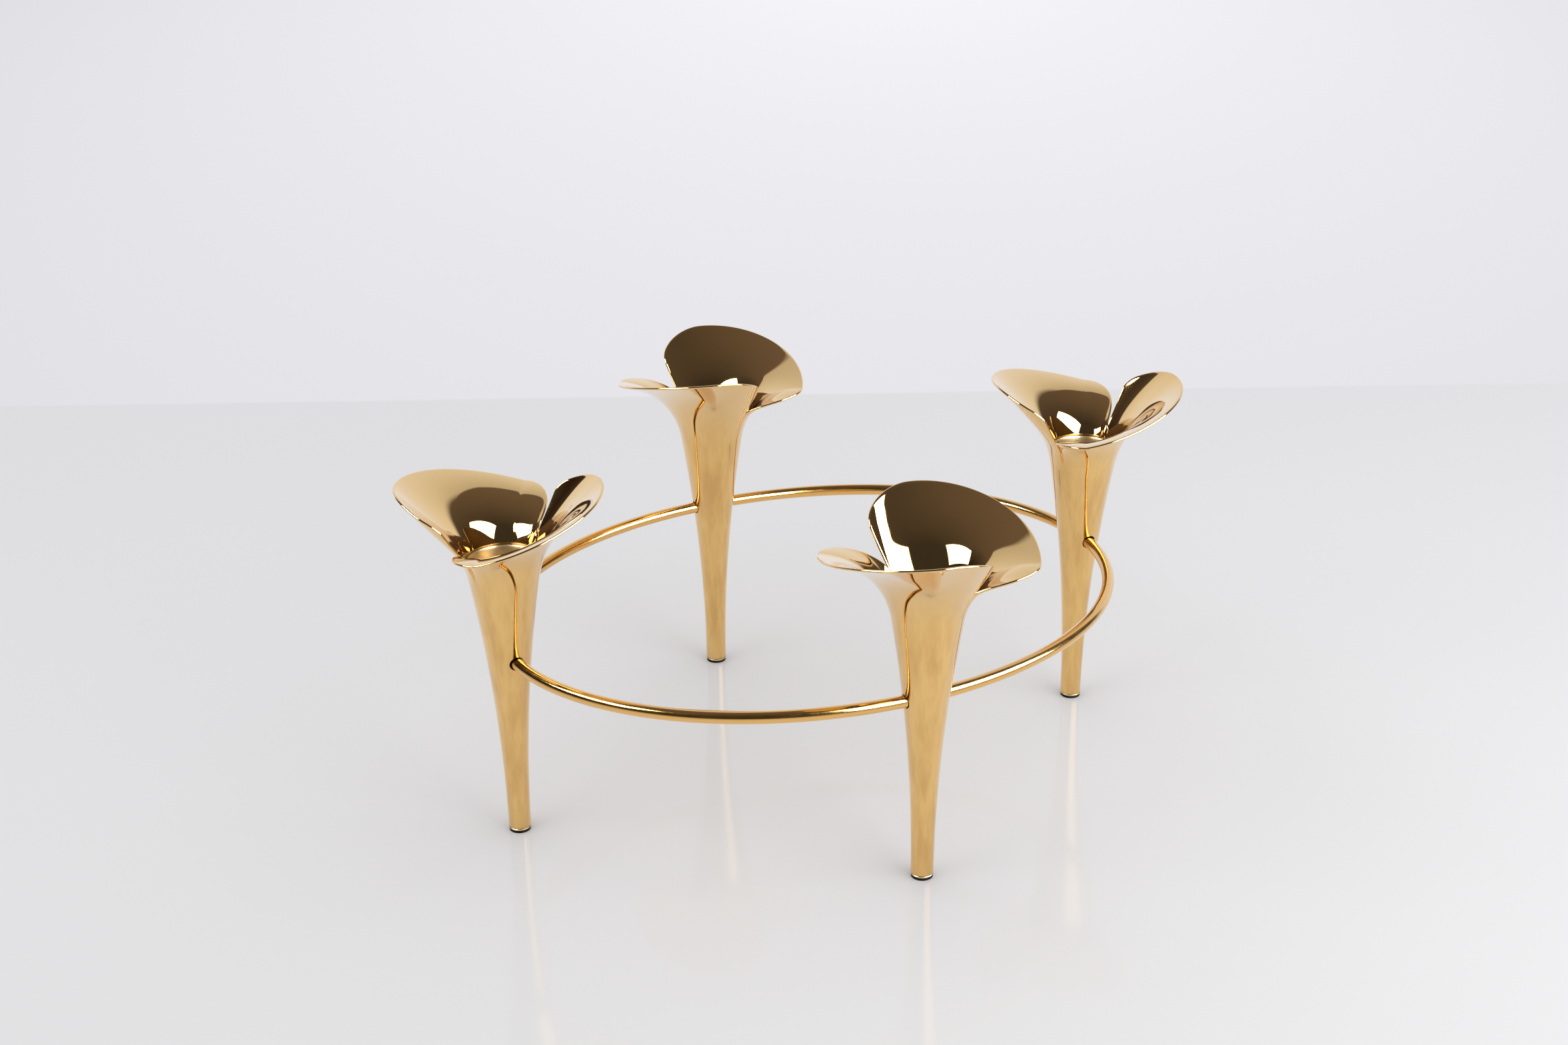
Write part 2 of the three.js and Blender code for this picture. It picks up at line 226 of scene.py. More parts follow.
def turned_piece(name, radius, height, centre, rows_close=False):
    """A profile of radii and heights, listed from the bottom up the outside, turned round the
    vertical through centre. A radius may be one number a row or one a row and column; a profile
    that doesn't close on itself ends in a point on the axis, both ends."""
    columns = sizes_of("fineness").turned_columns
    turn = 2 * np.pi * np.arange(columns) / columns
    radius = np.broadcast_to(np.asarray(radius, float).T, (columns, len(height)))
    points = np.stack([centre.x + radius * np.cos(turn)[:, None],
                       centre.y + radius * np.sin(turn)[:, None],
                       np.broadcast_to(height, radius.shape)], axis=-1)
    rows = len(height)
    faces = ring_quads(columns, rows, rows_close).tolist()
    points = points.reshape(-1, 3)
    if not rows_close:
        ends = [[centre.x, centre.y, height[0]], [centre.x, centre.y, height[-1]]]
        first, last = len(points), len(points) + 1
        points = np.vstack([points, ends])
        here, after = np.arange(columns), (np.arange(columns) + 1) % columns
        faces += np.stack([np.full(columns, first), after * rows, here * rows], 1).tolist()
        faces += np.stack([np.full(columns, last), (here + 1) * rows - 1,
                           (after + 1) * rows - 1], 1).tolist()
    return mesh_from(name, points, faces)


# Shape of a trumpet: all functions take and give arrays

SLIT_FLARE = 3.45 * MM  # from the throat's radius out to the bottom of the slits
LEAD_HEIGHT_POWER = 0.44  # how fast the rim climbs from its leading slit
CLIMB_POWER = 1.13  # from the lip to the crest
DIP_POWER = 1.65  # from the crest to the tail, in height
TAIL_POWER = 3.3  # from the widest rim to the tail, in radius
THROAT_HANDLE = 0.33  # curve handle up the stem, a share of the way to the rim
RIM_HANDLE = 0.45  # curve handle back from the rim
CORNER_START = math.radians(173)  # where the rim starts to round into the tail's edge
CORNER_DROP = 0.07  # share of the outline that the rounded corner takes
THROAT_AT_CORNER = math.radians(160)  # where the column through the corner leaves the throat
LEAD_CLUSTER = 1.5  # how closely the columns crowd at the leading slit


def quarter_sine(share):
    """Sine of a share of a right angle, held between 0 and 1."""
    return np.sin(np.clip(share, 0, 1) * np.pi / 2)


def stem_radius(height):
    """Outer radius of the stem: a parabola that is upright at the foot."""
    trumpet = sizes_of("trumpet")
    base, foot = stem_foot()
    rise = (height - base) / (trumpet.throat_height - base)
    return foot + (trumpet.throat_radius - foot) * rise ** 2


def stem_foot():
    """Height and radius of the bottom of the stem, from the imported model."""
    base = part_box("trumpet_right")[0].z
    low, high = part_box("foot_plug_right")
    return base, (high.y - low.y) / 2


def stem_slope(height):
    """Growth of the stem's radius with height: the parabola's slope."""
    trumpet = sizes_of("trumpet")
    base, foot = stem_foot()
    span = trumpet.throat_height - base
    return 2 * (trumpet.throat_radius - foot) * (height - base) / span ** 2


def outline_from_sizes(turn):
    """Control points of the petal's outline, radius and height, at angles from its leading slit.
    The rim climbs from the slit to the lip and on to the crest by powers of a quarter sine of
    the angle, and falls to the tail by powers of the angle. The outline leaves the throat along
    the stem and reaches the rim at the rim's own slope, with handles that are shares of the
    way between them."""
    t = sizes_of("trumpet")
    lead = quarter_sine(turn / t.lip_angle)
    fall = np.clip((turn - t.tail_start) / (math.pi - t.tail_start), 0, 1)
    climb = quarter_sine((turn - t.lip_angle) / (t.crest_angle - t.lip_angle))
    dip = np.clip((turn - t.crest_angle) / (math.pi - t.crest_angle), 0, 1)
    slit_radius = t.throat_radius + SLIT_FLARE
    rim_radius = slit_radius + (t.lip_radius - slit_radius) * lead
    rim_radius = rim_radius - (t.lip_radius - t.tail_radius) * fall ** TAIL_POWER
    rim_height = t.slit_height + (t.lip_height - t.slit_height) * lead ** LEAD_HEIGHT_POWER
    rim_height = rim_height + (t.crest_height - t.lip_height) * climb ** CLIMB_POWER
    rim_height = rim_height - (t.crest_height - t.tail_height) * dip ** DIP_POWER
    before = np.clip(1 - turn / t.flat_angle, 0, 1)
    after = np.clip((turn - t.flat_angle) / (math.pi - t.flat_angle), 0, 1)
    tilt = t.lead_tilt * before ** 2 + t.tail_tilt * after
    throat = np.array([t.throat_radius, t.throat_height])
    rim = np.stack([rim_radius, rim_height], -1)
    reach = np.linalg.norm(rim - throat, axis=-1, keepdims=True)
    up = np.array([stem_slope(t.throat_height), 1.0])
    up /= np.linalg.norm(up)
    out = np.stack([np.cos(tilt), np.sin(tilt)], -1)
    start = np.broadcast_to(throat, rim.shape)
    return np.stack([start, start + THROAT_HANDLE * reach * up, rim - RIM_HANDLE * reach * out,
                     rim], axis=-2)


def on_curve(controls, share):
    """Point of a cubic curve: its four control points, each weighted by its cubic of the share
    between the curve's ends."""
    s = share[..., None]
    weights = [(1 - s) ** 3, 3 * s * (1 - s) ** 2, 3 * s ** 2 * (1 - s), s ** 3]
    return sum(weight * controls[..., k, :] for k, weight in enumerate(weights))


def slit_share():
    """The share of the trailing outline that lies below the slit, and that part as a curve. Its
    control points come from cutting the lines between control points at the share, three
    times over."""
    tail = outline_from_sizes(np.array([math.pi]))[0]
    shares = np.linspace(0, 1, 400)
    heights = on_curve(np.broadcast_to(tail, (400, 4, 2)), shares)[:, 1]
    share = float(np.interp(sizes_of("trumpet").slit_height, heights, shares))
    first = tail[:-1] + (tail[1:] - tail[:-1]) * share
    second = first[:-1] + (first[1:] - first[:-1]) * share
    third = second[:-1] + (second[1:] - second[:-1]) * share
    return share, np.stack([tail[0], first[0], second[0], third[0]])


def outline(turn):
    """The outline's control points, eased near the leading slit into the piece of the trailing
    outline below the slit, so that the sheet is unbroken there."""
    controls = outline_from_sizes(turn)
    at_slit = outline_from_sizes(np.zeros(1))[0]
    ease = np.clip(1 - turn / sizes_of("trumpet").lip_angle, 0, 1) ** 3
    return controls + ease[..., None, None] * (slit_share()[1] - at_slit)


def throat_inside(heights):
    """Least radius of the trumpet's inside at these heights: the stem's bore, and above the throat
    the narrowest of the outlines all round, less the wall measured level."""
    t = sizes_of("trumpet")
    bore = stem_radius(heights) - t.wall * np.hypot(1, stem_slope(heights))
    controls = outline_from_sizes(np.linspace(0, math.pi, 48))
    curves = on_curve(controls[:, None], np.broadcast_to(np.linspace(0, 1, 60), (48, 60)))
    slopes = np.gradient(curves[..., 0], axis=1) / np.gradient(curves[..., 1], axis=1)
    level = curves[..., 0] - t.wall * np.hypot(1, slopes)
    bell = [np.interp(heights, z, radius) for z, radius in zip(curves[..., 1], level)]
    return np.where(heights < t.throat_height, bore, np.min(bell, axis=0))


def petal_columns():
    """For each column of one petal: its angle at the throat, its angle at the edge, and the share
    of the outline that it reaches. The columns run along the rim, round the tail's corner and
    down the tail's edge."""
    fine = sizes_of("fineness")
    along = np.arange(fine.rim_columns) / fine.rim_columns
    rim = CORNER_START * along ** LEAD_CLUSTER
    round_corner = np.arange(fine.corner_columns) / fine.corner_columns * np.pi / 2
    corner = CORNER_START + (math.pi - CORNER_START) * np.sin(round_corner)
    corner_share = 1 - CORNER_DROP * (1 - np.cos(round_corner))
    down = np.arange(fine.tail_columns) / fine.tail_columns
    tail_share = 1 - CORNER_DROP + (slit_share()[0] - 1 + CORNER_DROP) * down
    edge = np.concatenate([rim, corner, np.full(fine.tail_columns, math.pi)])
    share = np.concatenate([np.ones(fine.rim_columns), corner_share, tail_share])
    rest = fine.corner_columns + fine.tail_columns
    late = THROAT_AT_CORNER + (math.pi - THROAT_AT_CORNER) * np.arange(rest) / rest
    throat = np.concatenate([rim * THROAT_AT_CORNER / CORNER_START, late])
    return throat, edge, share


def outer_surface():
    """Points of the outer surface, column by column round both petals, from the foot up. A
    column climbs the stem straight, then turns evenly from its throat angle to its edge angle
    as it climbs the outline. The second petal is the first turned by half a turn."""
    t, fine = sizes_of("trumpet"), sizes_of("fineness")
    throat, edge, reach = petal_columns()
    up_petal = np.linspace(0, 1, fine.petal_rows + 1)
    turn = throat[:, None] + (edge - throat)[:, None] * up_petal
    place = on_curve(outline(turn), reach[:, None] * up_petal)
    base = stem_foot()[0]
    heights = np.linspace(base, t.throat_height, fine.stem_rows, endpoint=False)
    stem = np.stack([stem_radius(heights), heights], -1)
    stem = np.broadcast_to(stem, (len(throat), fine.stem_rows, 2))
    place = np.concatenate([stem, place], axis=1)
    turn = np.concatenate([np.repeat(throat[:, None], fine.stem_rows, 1), turn], axis=1)
    place = np.concatenate([place, place])
    turn = np.concatenate([turn, turn + math.pi]) + t.slit_turn
    radius, height = place[..., 0], place[..., 1]
    return np.stack([radius * np.cos(turn), radius * np.sin(turn), height], -1)


def unit(vectors):
    """Vectors of length 1."""
    return vectors / np.linalg.norm(vectors, axis=-1, keepdims=True)


def trumpet_points():
    """The wall as a closed loop a column: up the outside, round the polished edge, down the
    inside. The inside lies one wall from the outside, square to it, and the edge is half an
    ellipse across the wall."""
    t = sizes_of("trumpet")
    outside = outer_surface()
    along = np.roll(outside, -1, 0) - np.roll(outside, 1, 0)
    up = np.gradient(outside, axis=1)
    normal = unit(np.cross(along, up))
    rim, rim_normal = outside[:, -1], normal[:, -1]
    outward = unit(np.cross(rim_normal, along[:, -1]))
    slits = [0, len(outside) // 2]
    outward[slits] = unit(up[slits, -1])
    around = np.linspace(0, np.pi, 9)[1:-1, None]
    middle = rim - rim_normal * t.wall / 2
    edge = (middle[:, None] + np.cos(around) * rim_normal[:, None] * t.wall / 2
            + np.sin(around) * outward[:, None] * t.edge_bulge)
    inside = (outside - normal * t.wall)[:, ::-1]
    return np.concatenate([outside, edge, inside], axis=1)


def hole_cutter(place):
    """A cylinder along the ring's tangent at a flower. The rod bends away from the tangent inside
    the stem, so the hole is moved by half of that and opened by as much."""
    t, rod = sizes_of("trumpet"), sizes_of("ring")
    half_length, half_width = centre_of("right").x, centre_of("back").y
    long_end = place in ("right", "left")
    bend = half_width ** 2 / half_length if long_end else half_length ** 2 / half_width
    reach = float(stem_radius(ring_height()))
    sideways = (bend - math.sqrt(bend ** 2 - reach ** 2)) / 2
    radius = rod.rod_radius + t.hole_gap + sideways
    sides = 96
    turn = 2 * np.pi * np.arange(sides) / sides
    section = np.stack([radius * np.cos(turn) - sideways, np.zeros(sides),
                        radius * np.sin(turn) + ring_height()], -1)
    shift = np.array([0, 2 * reach, 0])
    points = np.concatenate([section - shift, section + shift])
    here, after = np.arange(sides), (np.arange(sides) + 1) % sides
    faces = np.stack([here, here + sides, after + sides, after], 1).tolist()
    faces += [here.tolist(), (here[::-1] + sides).tolist()]
    return mesh_from("cutter", points, faces)


def cut(piece, cutter):
    """Subtracts the cutter, keeps the result as the piece's mesh and removes the cutter."""
    modifier = piece.modifiers.new("hole", "BOOLEAN")
    modifier.operation, modifier.solver, modifier.object = "DIFFERENCE", "EXACT", cutter
    graph = bpy.context.evaluated_depsgraph_get()
    made = bpy.data.meshes.new_from_object(piece.evaluated_get(graph))
    piece.modifiers.clear()
    old, piece.data = piece.data, made
    bpy.data.meshes.remove(old)
    bpy.data.objects.remove(cutter)
    made.set_sharp_from_angle(angle=CRISP_ABOVE)


def dress(piece, material, replaced):
    """Gives a new piece its material and body, and hides the CAD node that it stands for."""
    piece.data.materials.clear()
    piece.data.materials.append(material)
    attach(piece, BODY)
    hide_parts(replaced)


# Materials

def add_node(tree, kind, inputs=None, **settings):
    """Adds a shader node, sets its attributes, and gives its inputs a value, another node's
    output or, where that is the first one in use, the other node itself."""
    node = tree.nodes.new("ShaderNode" + kind)
    for name, value in settings.items():
        setattr(node, name, value)
    for name, value in (inputs or {}).items():
        if isinstance(value, bpy.types.Node):
            value = next(output for output in value.outputs if output.enabled)
        if isinstance(value, bpy.types.NodeSocket):
            tree.links.new(value, node.inputs[name])
        else:
            node.inputs[name].default_value = value
    return node


SMOOTH = {"interpolation_type": "SMOOTHSTEP"}


def shared(shade):
    """The material that is named after the function that makes its nodes, made once. The function
    gets the node tree, the object coordinates and the scene's colours."""
    material = bpy.data.materials.get(shade.__name__)
    if not material:
        material = bpy.data.materials.new(shade.__name__)
        material.use_nodes = True
        tree = material.node_tree
        tree.nodes.clear()
        shade(tree, add_node(tree, "TexCoord").outputs["Object"], sizes_of("finishes"))
    return material


def finish_material(tree, inputs):
    """Adds the Principled shader with these inputs and links it to the output."""
    shader = add_node(tree, "BsdfPrincipled", inputs)
    add_node(tree, "OutputMaterial", {"Surface": shader})


# Ranges of height, in metres, over which a trumpet's finish changes
STEM_TO_PETAL = {"From Min": 0.09, "From Max": 0.125}  # soft buffing to mirror
THROAT_TOP = {"From Min": 0.1204, "From Max": 0.1194}  # lacquered to bare, brushed and painted darker as shade
CLOUDS_TOP = {"From Min": 0.135, "From Max": 0.1}  # even brass to clouds of duller buffing and painted reflection
NOISE_RANGE = {"From Min": 0.3, "From Max": 0.7}  # where most of a noise's values lie
INSIDE = "inside"  # point attribute of a trumpet: 1 on the inner side of the sheet


def lacquered_brass_buffed(tree, place, finishes):
    """Spun brass sheet, buffed to a mirror and clear lacquered. The lacquer pales the metal where
    it is seen at a slant. The petals reflect the room sharply; the stem is buffed along its
    length and a little softer, with clouds of deeper colour that are partly duller buffing and
    partly a painted reflection of the board's shading. Hand forming leaves the reflections
    slightly wavy. Inside, the throat is bare and finely brushed round, which draws reflections
    out up and down, and it is painted a deeper gold as shade."""
    height = add_node(tree, "SeparateXYZ", {0: place}).outputs["Z"]
    petal = add_node(tree, "MapRange", {"Value": height, **STEM_TO_PETAL}, **SMOOTH)
    # streaks of the buffing wheel, about 0.4 mm apart and 30 mm long
    upright = add_node(tree, "Mapping", {0: place, "Scale": (2500, 2500, 35)})
    streaks = add_node(tree, "TexNoise", {"Vector": upright, "Scale": 1.0, "Detail": 3.0})
    soft = add_node(tree, "MapRange", {
        "Value": streaks, **NOISE_RANGE, "To Min": 0.06, "To Max": 0.2})
    # the brushed throat ends softly, just above the rim of the cup
    inside = add_node(tree, "Attribute", attribute_name=INSIDE).outputs["Fac"]
    throat = add_node(tree, "MapRange", {"Value": height, **THROAT_TOP, "To Max": inside}, **SMOOTH)
    sheen = add_node(tree, "MapRange", {"Value": throat, "To Min": 0.03, "To Max": 0.5})
    brushed = add_node(tree, "Math", {0: throat, 1: 0.95}, operation="MULTIPLY")
    round_axis = add_node(tree, "Tangent", direction_type="RADIAL", axis="Z")
    rough = add_node(tree, "Mix", {"Factor": petal, "A": soft, "B": sheen})
    # clouds on the stem, about 5 mm wide and 25 mm long: partly duller buffing and partly a painted
    # reflection of the board's shading
    drawn_out = add_node(tree, "Mapping", {0: place, "Scale": (200, 200, 40)})
    clouds = add_node(tree, "TexNoise", {
        "Vector": drawn_out, "Scale": 1.0, "Detail": 4.0, "Roughness": 0.6})
    dull = add_node(tree, "MapRange", {"Value": height, **CLOUDS_TOP, "To Max": 0.9})
    dull = add_node(tree, "MapRange", {
        "Value": clouds, "From Min": 0.4, "From Max": 0.65, "To Max": dull})
    tone = add_node(tree, "Mix", {
        "Factor": dull, "A": finishes.brass, "B": finishes.worn}, data_type="RGBA")
    # painted shade: the throat, which is also bare of lacquer, is painted a deeper gold
    tone = add_node(tree, "Mix", {
        "Factor": throat, "A": tone, "B": finishes.bare}, data_type="RGBA")
    # its brushed lines run level, 0.25 mm apart
    level = add_node(tree, "Mapping", {0: place, "Scale": (60, 60, 4000)})
    lines = add_node(tree, "TexNoise", {"Vector": level, "Scale": 1.0, "Detail": 2.0})
    # waves of the hand forming, about 14 mm apart and a few hundredths of a millimetre deep
    waves = add_node(tree, "TexNoise", {
        "Vector": place, "Scale": 70.0, "Detail": 1.0, "Roughness": 0.4})
    bump = add_node(tree, "Bump", {"Strength": 1.0, "Distance": 0.00012, "Height": waves})
    bump = add_node(tree, "Bump", {
        "Strength": throat, "Distance": 0.000004, "Height": lines, "Normal": bump})
    bare = add_node(tree, "Math", {0: 1.0, 1: throat}, operation="SUBTRACT")
    finish_material(tree, {
        "Base Color": tone, "Metallic": 1.0, "Roughness": rough, "Anisotropic": brushed,
        "Anisotropic Rotation": 0.25, "Tangent": round_axis, "Normal": bump,
        "Coat Weight": bare, "Coat IOR": 1.7, "Coat Roughness": 0.02, "Coat Normal": bump})


def drawn_rod_brass(tree, place, finishes):
    """Drawn brass rod, buffed to a mirror and clear lacquered, a deeper gold than the petals."""
    # faint unevenness of the buffing, about 5 mm apart
    patches = add_node(tree, "TexNoise", {"Vector": place, "Scale": 200.0, "Detail": 3.0})
    rough = add_node(tree, "MapRange", {
        "Value": patches, **NOISE_RANGE, "To Min": 0.1, "To Max": 0.16})
    finish_material(tree, {"Base Color": finishes.rod, "Metallic": 1.0, "Roughness": rough,
                           "Coat Weight": 1.0, "Coat Roughness": 0.1})


def zinc_plated_steel(tree, place, finishes):
    """Zinc-plated steel screw: greyish, slightly cloudy crystals in the plating."""
    # plating clouds 0.8 mm across
    clouds = add_node(tree, "TexNoise", {"Vector": place, "Scale": 1200.0, "Detail": 4.0})
    rough = add_node(tree, "MapRange", {
        "Value": clouds, **NOISE_RANGE, "To Min": 0.28, "To Max": 0.45})
    finish_material(tree, {"Base Color": finishes.zinc, "Metallic": 1.0, "Roughness": rough})


def moulded_rubber(tree, place, finishes):
    """Moulded rubber pad: near black and matt, with a fine grain."""
    # moulding grain 0.2 mm across
    grain = add_node(tree, "TexNoise", {"Vector": place, "Scale": 5000.0, "Detail": 2.0})
    bump = add_node(tree, "Bump", {"Strength": 0.4, "Distance": 0.00003, "Height": grain})
    finish_material(tree, {"Base Color": finishes.pad, "Roughness": 0.8,
                           "Specular IOR Level": 0.2, "Normal": bump})


# Operators

class MakeTrumpets(bpy.types.Operator):
    """Make the four trumpets"""
    bl_idname = "candelabra.make_trumpets"
    bl_label = "Trumpets"

    def execute(self, context):
        points = trumpet_points()
        columns, rows = points.shape[:2]
        faces = ring_quads(columns, rows, rows_close=True).tolist()
        for first, second in (("right", "left"), ("back", "front")):
            piece = mesh_from("brass_trumpet_" + first, points.reshape(-1, 3), faces)
            inner = np.tile(np.arange(rows) > rows / 2, columns).astype(float)
            piece.data.attributes.new(INSIDE, "FLOAT", "POINT").data.foreach_set("value", inner)
            cut(piece, hole_cutter(first))
            twin = bpy.data.objects.new("brass_trumpet_" + second, piece.data.copy())
            context.scene.collection.objects.link(twin)
            for place, made in ((first, piece), (second, twin)):
                turn = Matrix.Rotation(bearing_of(place), 4, "Z")
                made.data.transform(Matrix.Translation(centre_of(place)) @ turn)
                dress(made, shared(lacquered_brass_buffed), "trumpet_" + place)
        return {"FINISHED"}


FIT = 0.3 * MM  # clearance between pieces that seat on each other
CUP_ROWS = 24
LIP_RISE = 0.1 * MM  # of the rounded edge of the cup's mouth


class MakeCandleCups(bpy.types.Operator):
    """Make the turned candle cups in the throats"""
    bl_idname = "candelabra.make_candle_cups"
    bl_label = "Candle cups"

    def execute(self, context):
        cup = sizes_of("cup")
        for place in PLACES:
            low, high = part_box("candle_cup_" + place)
            floor, recess = low.z + cup.floor, low.z + cup.floor - cup.recess_depth
            heights = np.linspace(low.z, high.z, CUP_ROWS)
            outer = throat_inside(heights) - FIT
            inside = heights > floor
            # up the outside, over the lip by half a sine, down the inside to the floor and on
            # down into the recess
            lip = np.array([0.25, 0.5, 0.75])
            wall = np.interp(heights, [floor, high.z], [cup.wall, cup.lip])
            radius = np.concatenate([[cup.hole_radius], outer, outer[-1] - cup.lip * lip,
                                     (outer - wall)[inside][::-1],
                                     [np.interp(floor, heights, outer) - cup.wall,
                                      cup.recess_radius, cup.recess_radius, cup.hole_radius]])
            height = np.concatenate([[low.z], heights, high.z + LIP_RISE * np.sin(lip * np.pi),
                                     heights[inside][::-1], [floor, floor, recess, recess]])
            piece = turned_piece("turned_cup_" + place, radius, height, centre_of(place),
                                 rows_close=True)
            dress(piece, bpy.data.materials[TURNED], "candle_cup_" + place)
        return {"FINISHED"}


class MakeCupScrews(bpy.types.Operator):
    """Make the socket screws in the floors of the cups"""
    bl_idname = "candelabra.make_cup_screws"
    bl_label = "Cup screws"

    def execute(self, context):
        cup = sizes_of("cup")
        columns = sizes_of("fineness").turned_columns
        turn = 2 * np.pi * np.arange(columns) / columns
        # a hexagon's radius is its flat's distance over the cosine of the angle from the flat
        sixth = math.pi / 3
        hexagon = cup.key_radius * math.cos(sixth / 2) / np.cos(turn % sixth - sixth / 2)
        chamfer = 0.25 * MM
        for place in PLACES:
            low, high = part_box("cup_screw_" + place)
            seat = high.z - cup.head_height
            rows = [(cup.screw_radius - chamfer, low.z), (cup.screw_radius, low.z + chamfer),
                    (cup.screw_radius, seat), (cup.head_radius, seat),
                    (cup.head_radius, high.z - chamfer), (cup.head_radius - chamfer, high.z),
                    (hexagon, high.z), (hexagon, high.z - cup.key_depth)]
            radius = np.stack([np.broadcast_to(row[0], columns) for row in rows])
            height = np.array([row[1] for row in rows])
            piece = turned_piece("socket_screw_" + place, radius, height, centre_of(place))
            dress(piece, shared(zinc_plated_steel), "cup_screw_" + place)
        return {"FINISHED"}


class MakeRing(bpy.types.Operator):
    """Make the four quarters of the oval ring"""
    bl_idname = "candelabra.make_ring"
    bl_label = "Ring"

    def execute(self, context):
        for index, place in enumerate(PLACES):
            after = PLACES[(index + 1) % 4]
            name = "rod_%s_%s" % (place, after)
            dress(quarter_rod(name, index), shared(drawn_rod_brass), "ring_" + name)
        return {"FINISHED"}


def quarter_rod(name, quarter):
    """A round section carried square to the rod along a quarter of the oval, short of the stems'
    axes by half of the end space, with a chamfer at both cut ends. Lengths at the ends are
    turned into angles by dividing by the oval's other half size."""
    ring, fine = sizes_of("ring"), sizes_of("fineness")
    long_half, short_half = centre_of("right").x, centre_of("back").y
    space = ring.end_space / 2
    ends = [space / short_half, space / long_half]
    if quarter % 2:
        ends.reverse()
    start = quarter * math.pi / 2 + ends[0]
    stop = (quarter + 1) * math.pi / 2 - ends[1]
    turn = np.linspace(start, stop, fine.rod_steps)
    turn = np.concatenate([[start], turn, [stop]])
    radius = np.full(len(turn), ring.rod_radius)
    radius[[0, -1]] -= ring.end_chamfer
    bevel = np.array([ring.end_chamfer / short_half, ring.end_chamfer / long_half])
    turn[1] += bevel[quarter % 2]
    turn[-2] -= bevel[(quarter + 1) % 2]
    middle = np.stack([long_half * np.cos(turn), short_half * np.sin(turn),
                       np.full(len(turn), ring_height())], -1)
    ahead = unit(np.stack([-long_half * np.sin(turn), short_half * np.cos(turn),
                           np.zeros(len(turn))], -1))
    up = np.array([0.0, 0.0, 1.0])
    side = np.cross(ahead, up)
    round_rod = 2 * np.pi * np.arange(fine.rod_sides) / fine.rod_sides
    section = (np.cos(round_rod)[:, None, None] * side
               + np.sin(round_rod)[:, None, None] * up)
    points = middle + section * radius[:, None]
    sides, steps = fine.rod_sides, len(turn)
    faces = ring_quads(sides, steps, rows_close=False)[:, ::-1].tolist()
    here = np.arange(sides)
    faces += [(here * steps).tolist(), ((here * steps) + steps - 1)[::-1].tolist()]
    return mesh_from(name, points.reshape(-1, 3), faces)


class MakeFootPlugs(bpy.types.Operator):
    """Make the turned plugs in the feet"""
    bl_idname = "candelabra.make_foot_plugs"
    bl_label = "Foot plugs"

    def execute(self, context):
        foot = sizes_of("foot")
        for place in PLACES:
            low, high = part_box("foot_plug_" + place)
            rim = (high.y - low.y) / 2
            top = low.z + foot.flange
            radius = np.array([rim - foot.chamfer, rim, rim, rim - foot.chamfer / 3,
                               foot.spigot_radius, foot.spigot_radius,
                               foot.spigot_radius - foot.chamfer])
            height = np.array([low.z, low.z + foot.chamfer, top - foot.chamfer / 3, top, top,
                               high.z - foot.chamfer, high.z])
            piece = turned_piece("turned_plug_" + place, radius, height, centre_of(place))
            dress(piece, bpy.data.materials[TURNED], "foot_plug_" + place)
        return {"FINISHED"}


class MakeFootPads(bpy.types.Operator):
    """Make the rubber pads under the feet"""
    bl_idname = "candelabra.make_foot_pads"
    bl_label = "Foot pads"

    def execute(self, context):
        corner = sizes_of("foot").pad_round
        for place in PLACES:
            low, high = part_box("foot_pad_" + place)
            rim = (high.y - low.y) / 2
            # both edges are rounded by a quarter circle
            quarter = np.linspace(0, np.pi / 2, 5)
            radius = rim - corner + corner * np.concatenate([np.sin(quarter), np.cos(quarter)])
            height = np.concatenate([low.z + corner * (1 - np.cos(quarter)),
                                     high.z - corner * (1 - np.sin(quarter))])
            piece = turned_piece("rubber_pad_" + place, radius, height, centre_of(place))
            dress(piece, shared(moulded_rubber), "foot_pad_" + place)
        return {"FINISHED"}


class FinishInnerFittings(bpy.types.Operator):
    """Give the grub screws inside the stems their finish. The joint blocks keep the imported
    model's plain turned brass"""
    bl_idname = "candelabra.finish_inner_fittings"
    bl_label = "Inner fittings"

    def execute(self, context):
        for name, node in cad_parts.items():
            if name.startswith("grub_screw_"):
                node.data.materials.clear()
                node.data.materials.append(shared(zinc_plated_steel))
        return {"FINISHED"}


# Stage: the photograph is taken as 2353 x 1568 pixels

PHOTO_WIDTH = 2353
FOCAL_PIXELS = 3261.4
SENSOR = 36.0  # millimetres, the camera's own unit
CAMERA_PLACE = (-0.3495, -0.7283, 0.4702)
CAMERA_BEARING = math.radians(65.1)
CAMERA_PITCH = math.radians(24.04)
CAMERA_ROLL = math.radians(-0.41)
BOARD_HALF = 4.0  # half the side of the plane that shows board and paper
BOARD_EDGE = (0.175, 0.402)  # a point of the board's far edge
BOARD_EDGE_BEARING = math.radians(-23.6)
PAPER_SPOT = (0.95, 1.75)  # where the light on the paper is brightest
PAPER_SPOT_SIZE = (3.0, 1.5)  # along and across the camera's bearing
PAPER_SHADE = {"From Min": 0.1, "From Max": 0.9}  # of that size, from brightest to edge
# Distances from the ring's middle, all outside the photograph
BOARD_FADE = {"From Min": 0.7, "From Max": 1.7}  # board to paper
PAPER_FADE = {"From Min": 2.2, "From Max": 3.6}  # shaded paper to plain

# The room as the metal sees it. The edges of the backdrop are where it starts and where it is
# whole, in units of its distance
SHEET_LEFT = (-1.60, -1.50)
SHEET_RIGHT = (1.75, 1.20)
SHEET_TOP = (1.90, 1.70)
SHEET_LOW = "#EEF3FF"  # the backdrop's colour at the horizon
SHEET_HIGH = "#C6C8D2"  # and at its top
CEILING_WAY = (0, 0.6, 0.8)  # to the palest part of the ceiling: right, forward, up
ROOM_DARK = "#3D3A3A"
ROOM_CEILING = "#6E6463"
ROOM_LEFT = "#2A2222"  # the darkest side of the room
ROOM_LEFT_FADE = {"From Min": -0.7, "From Max": -0.92}  # rightward part of the direction
EVEN_LIGHT = "#E2E1E1"  # what all but metal gets

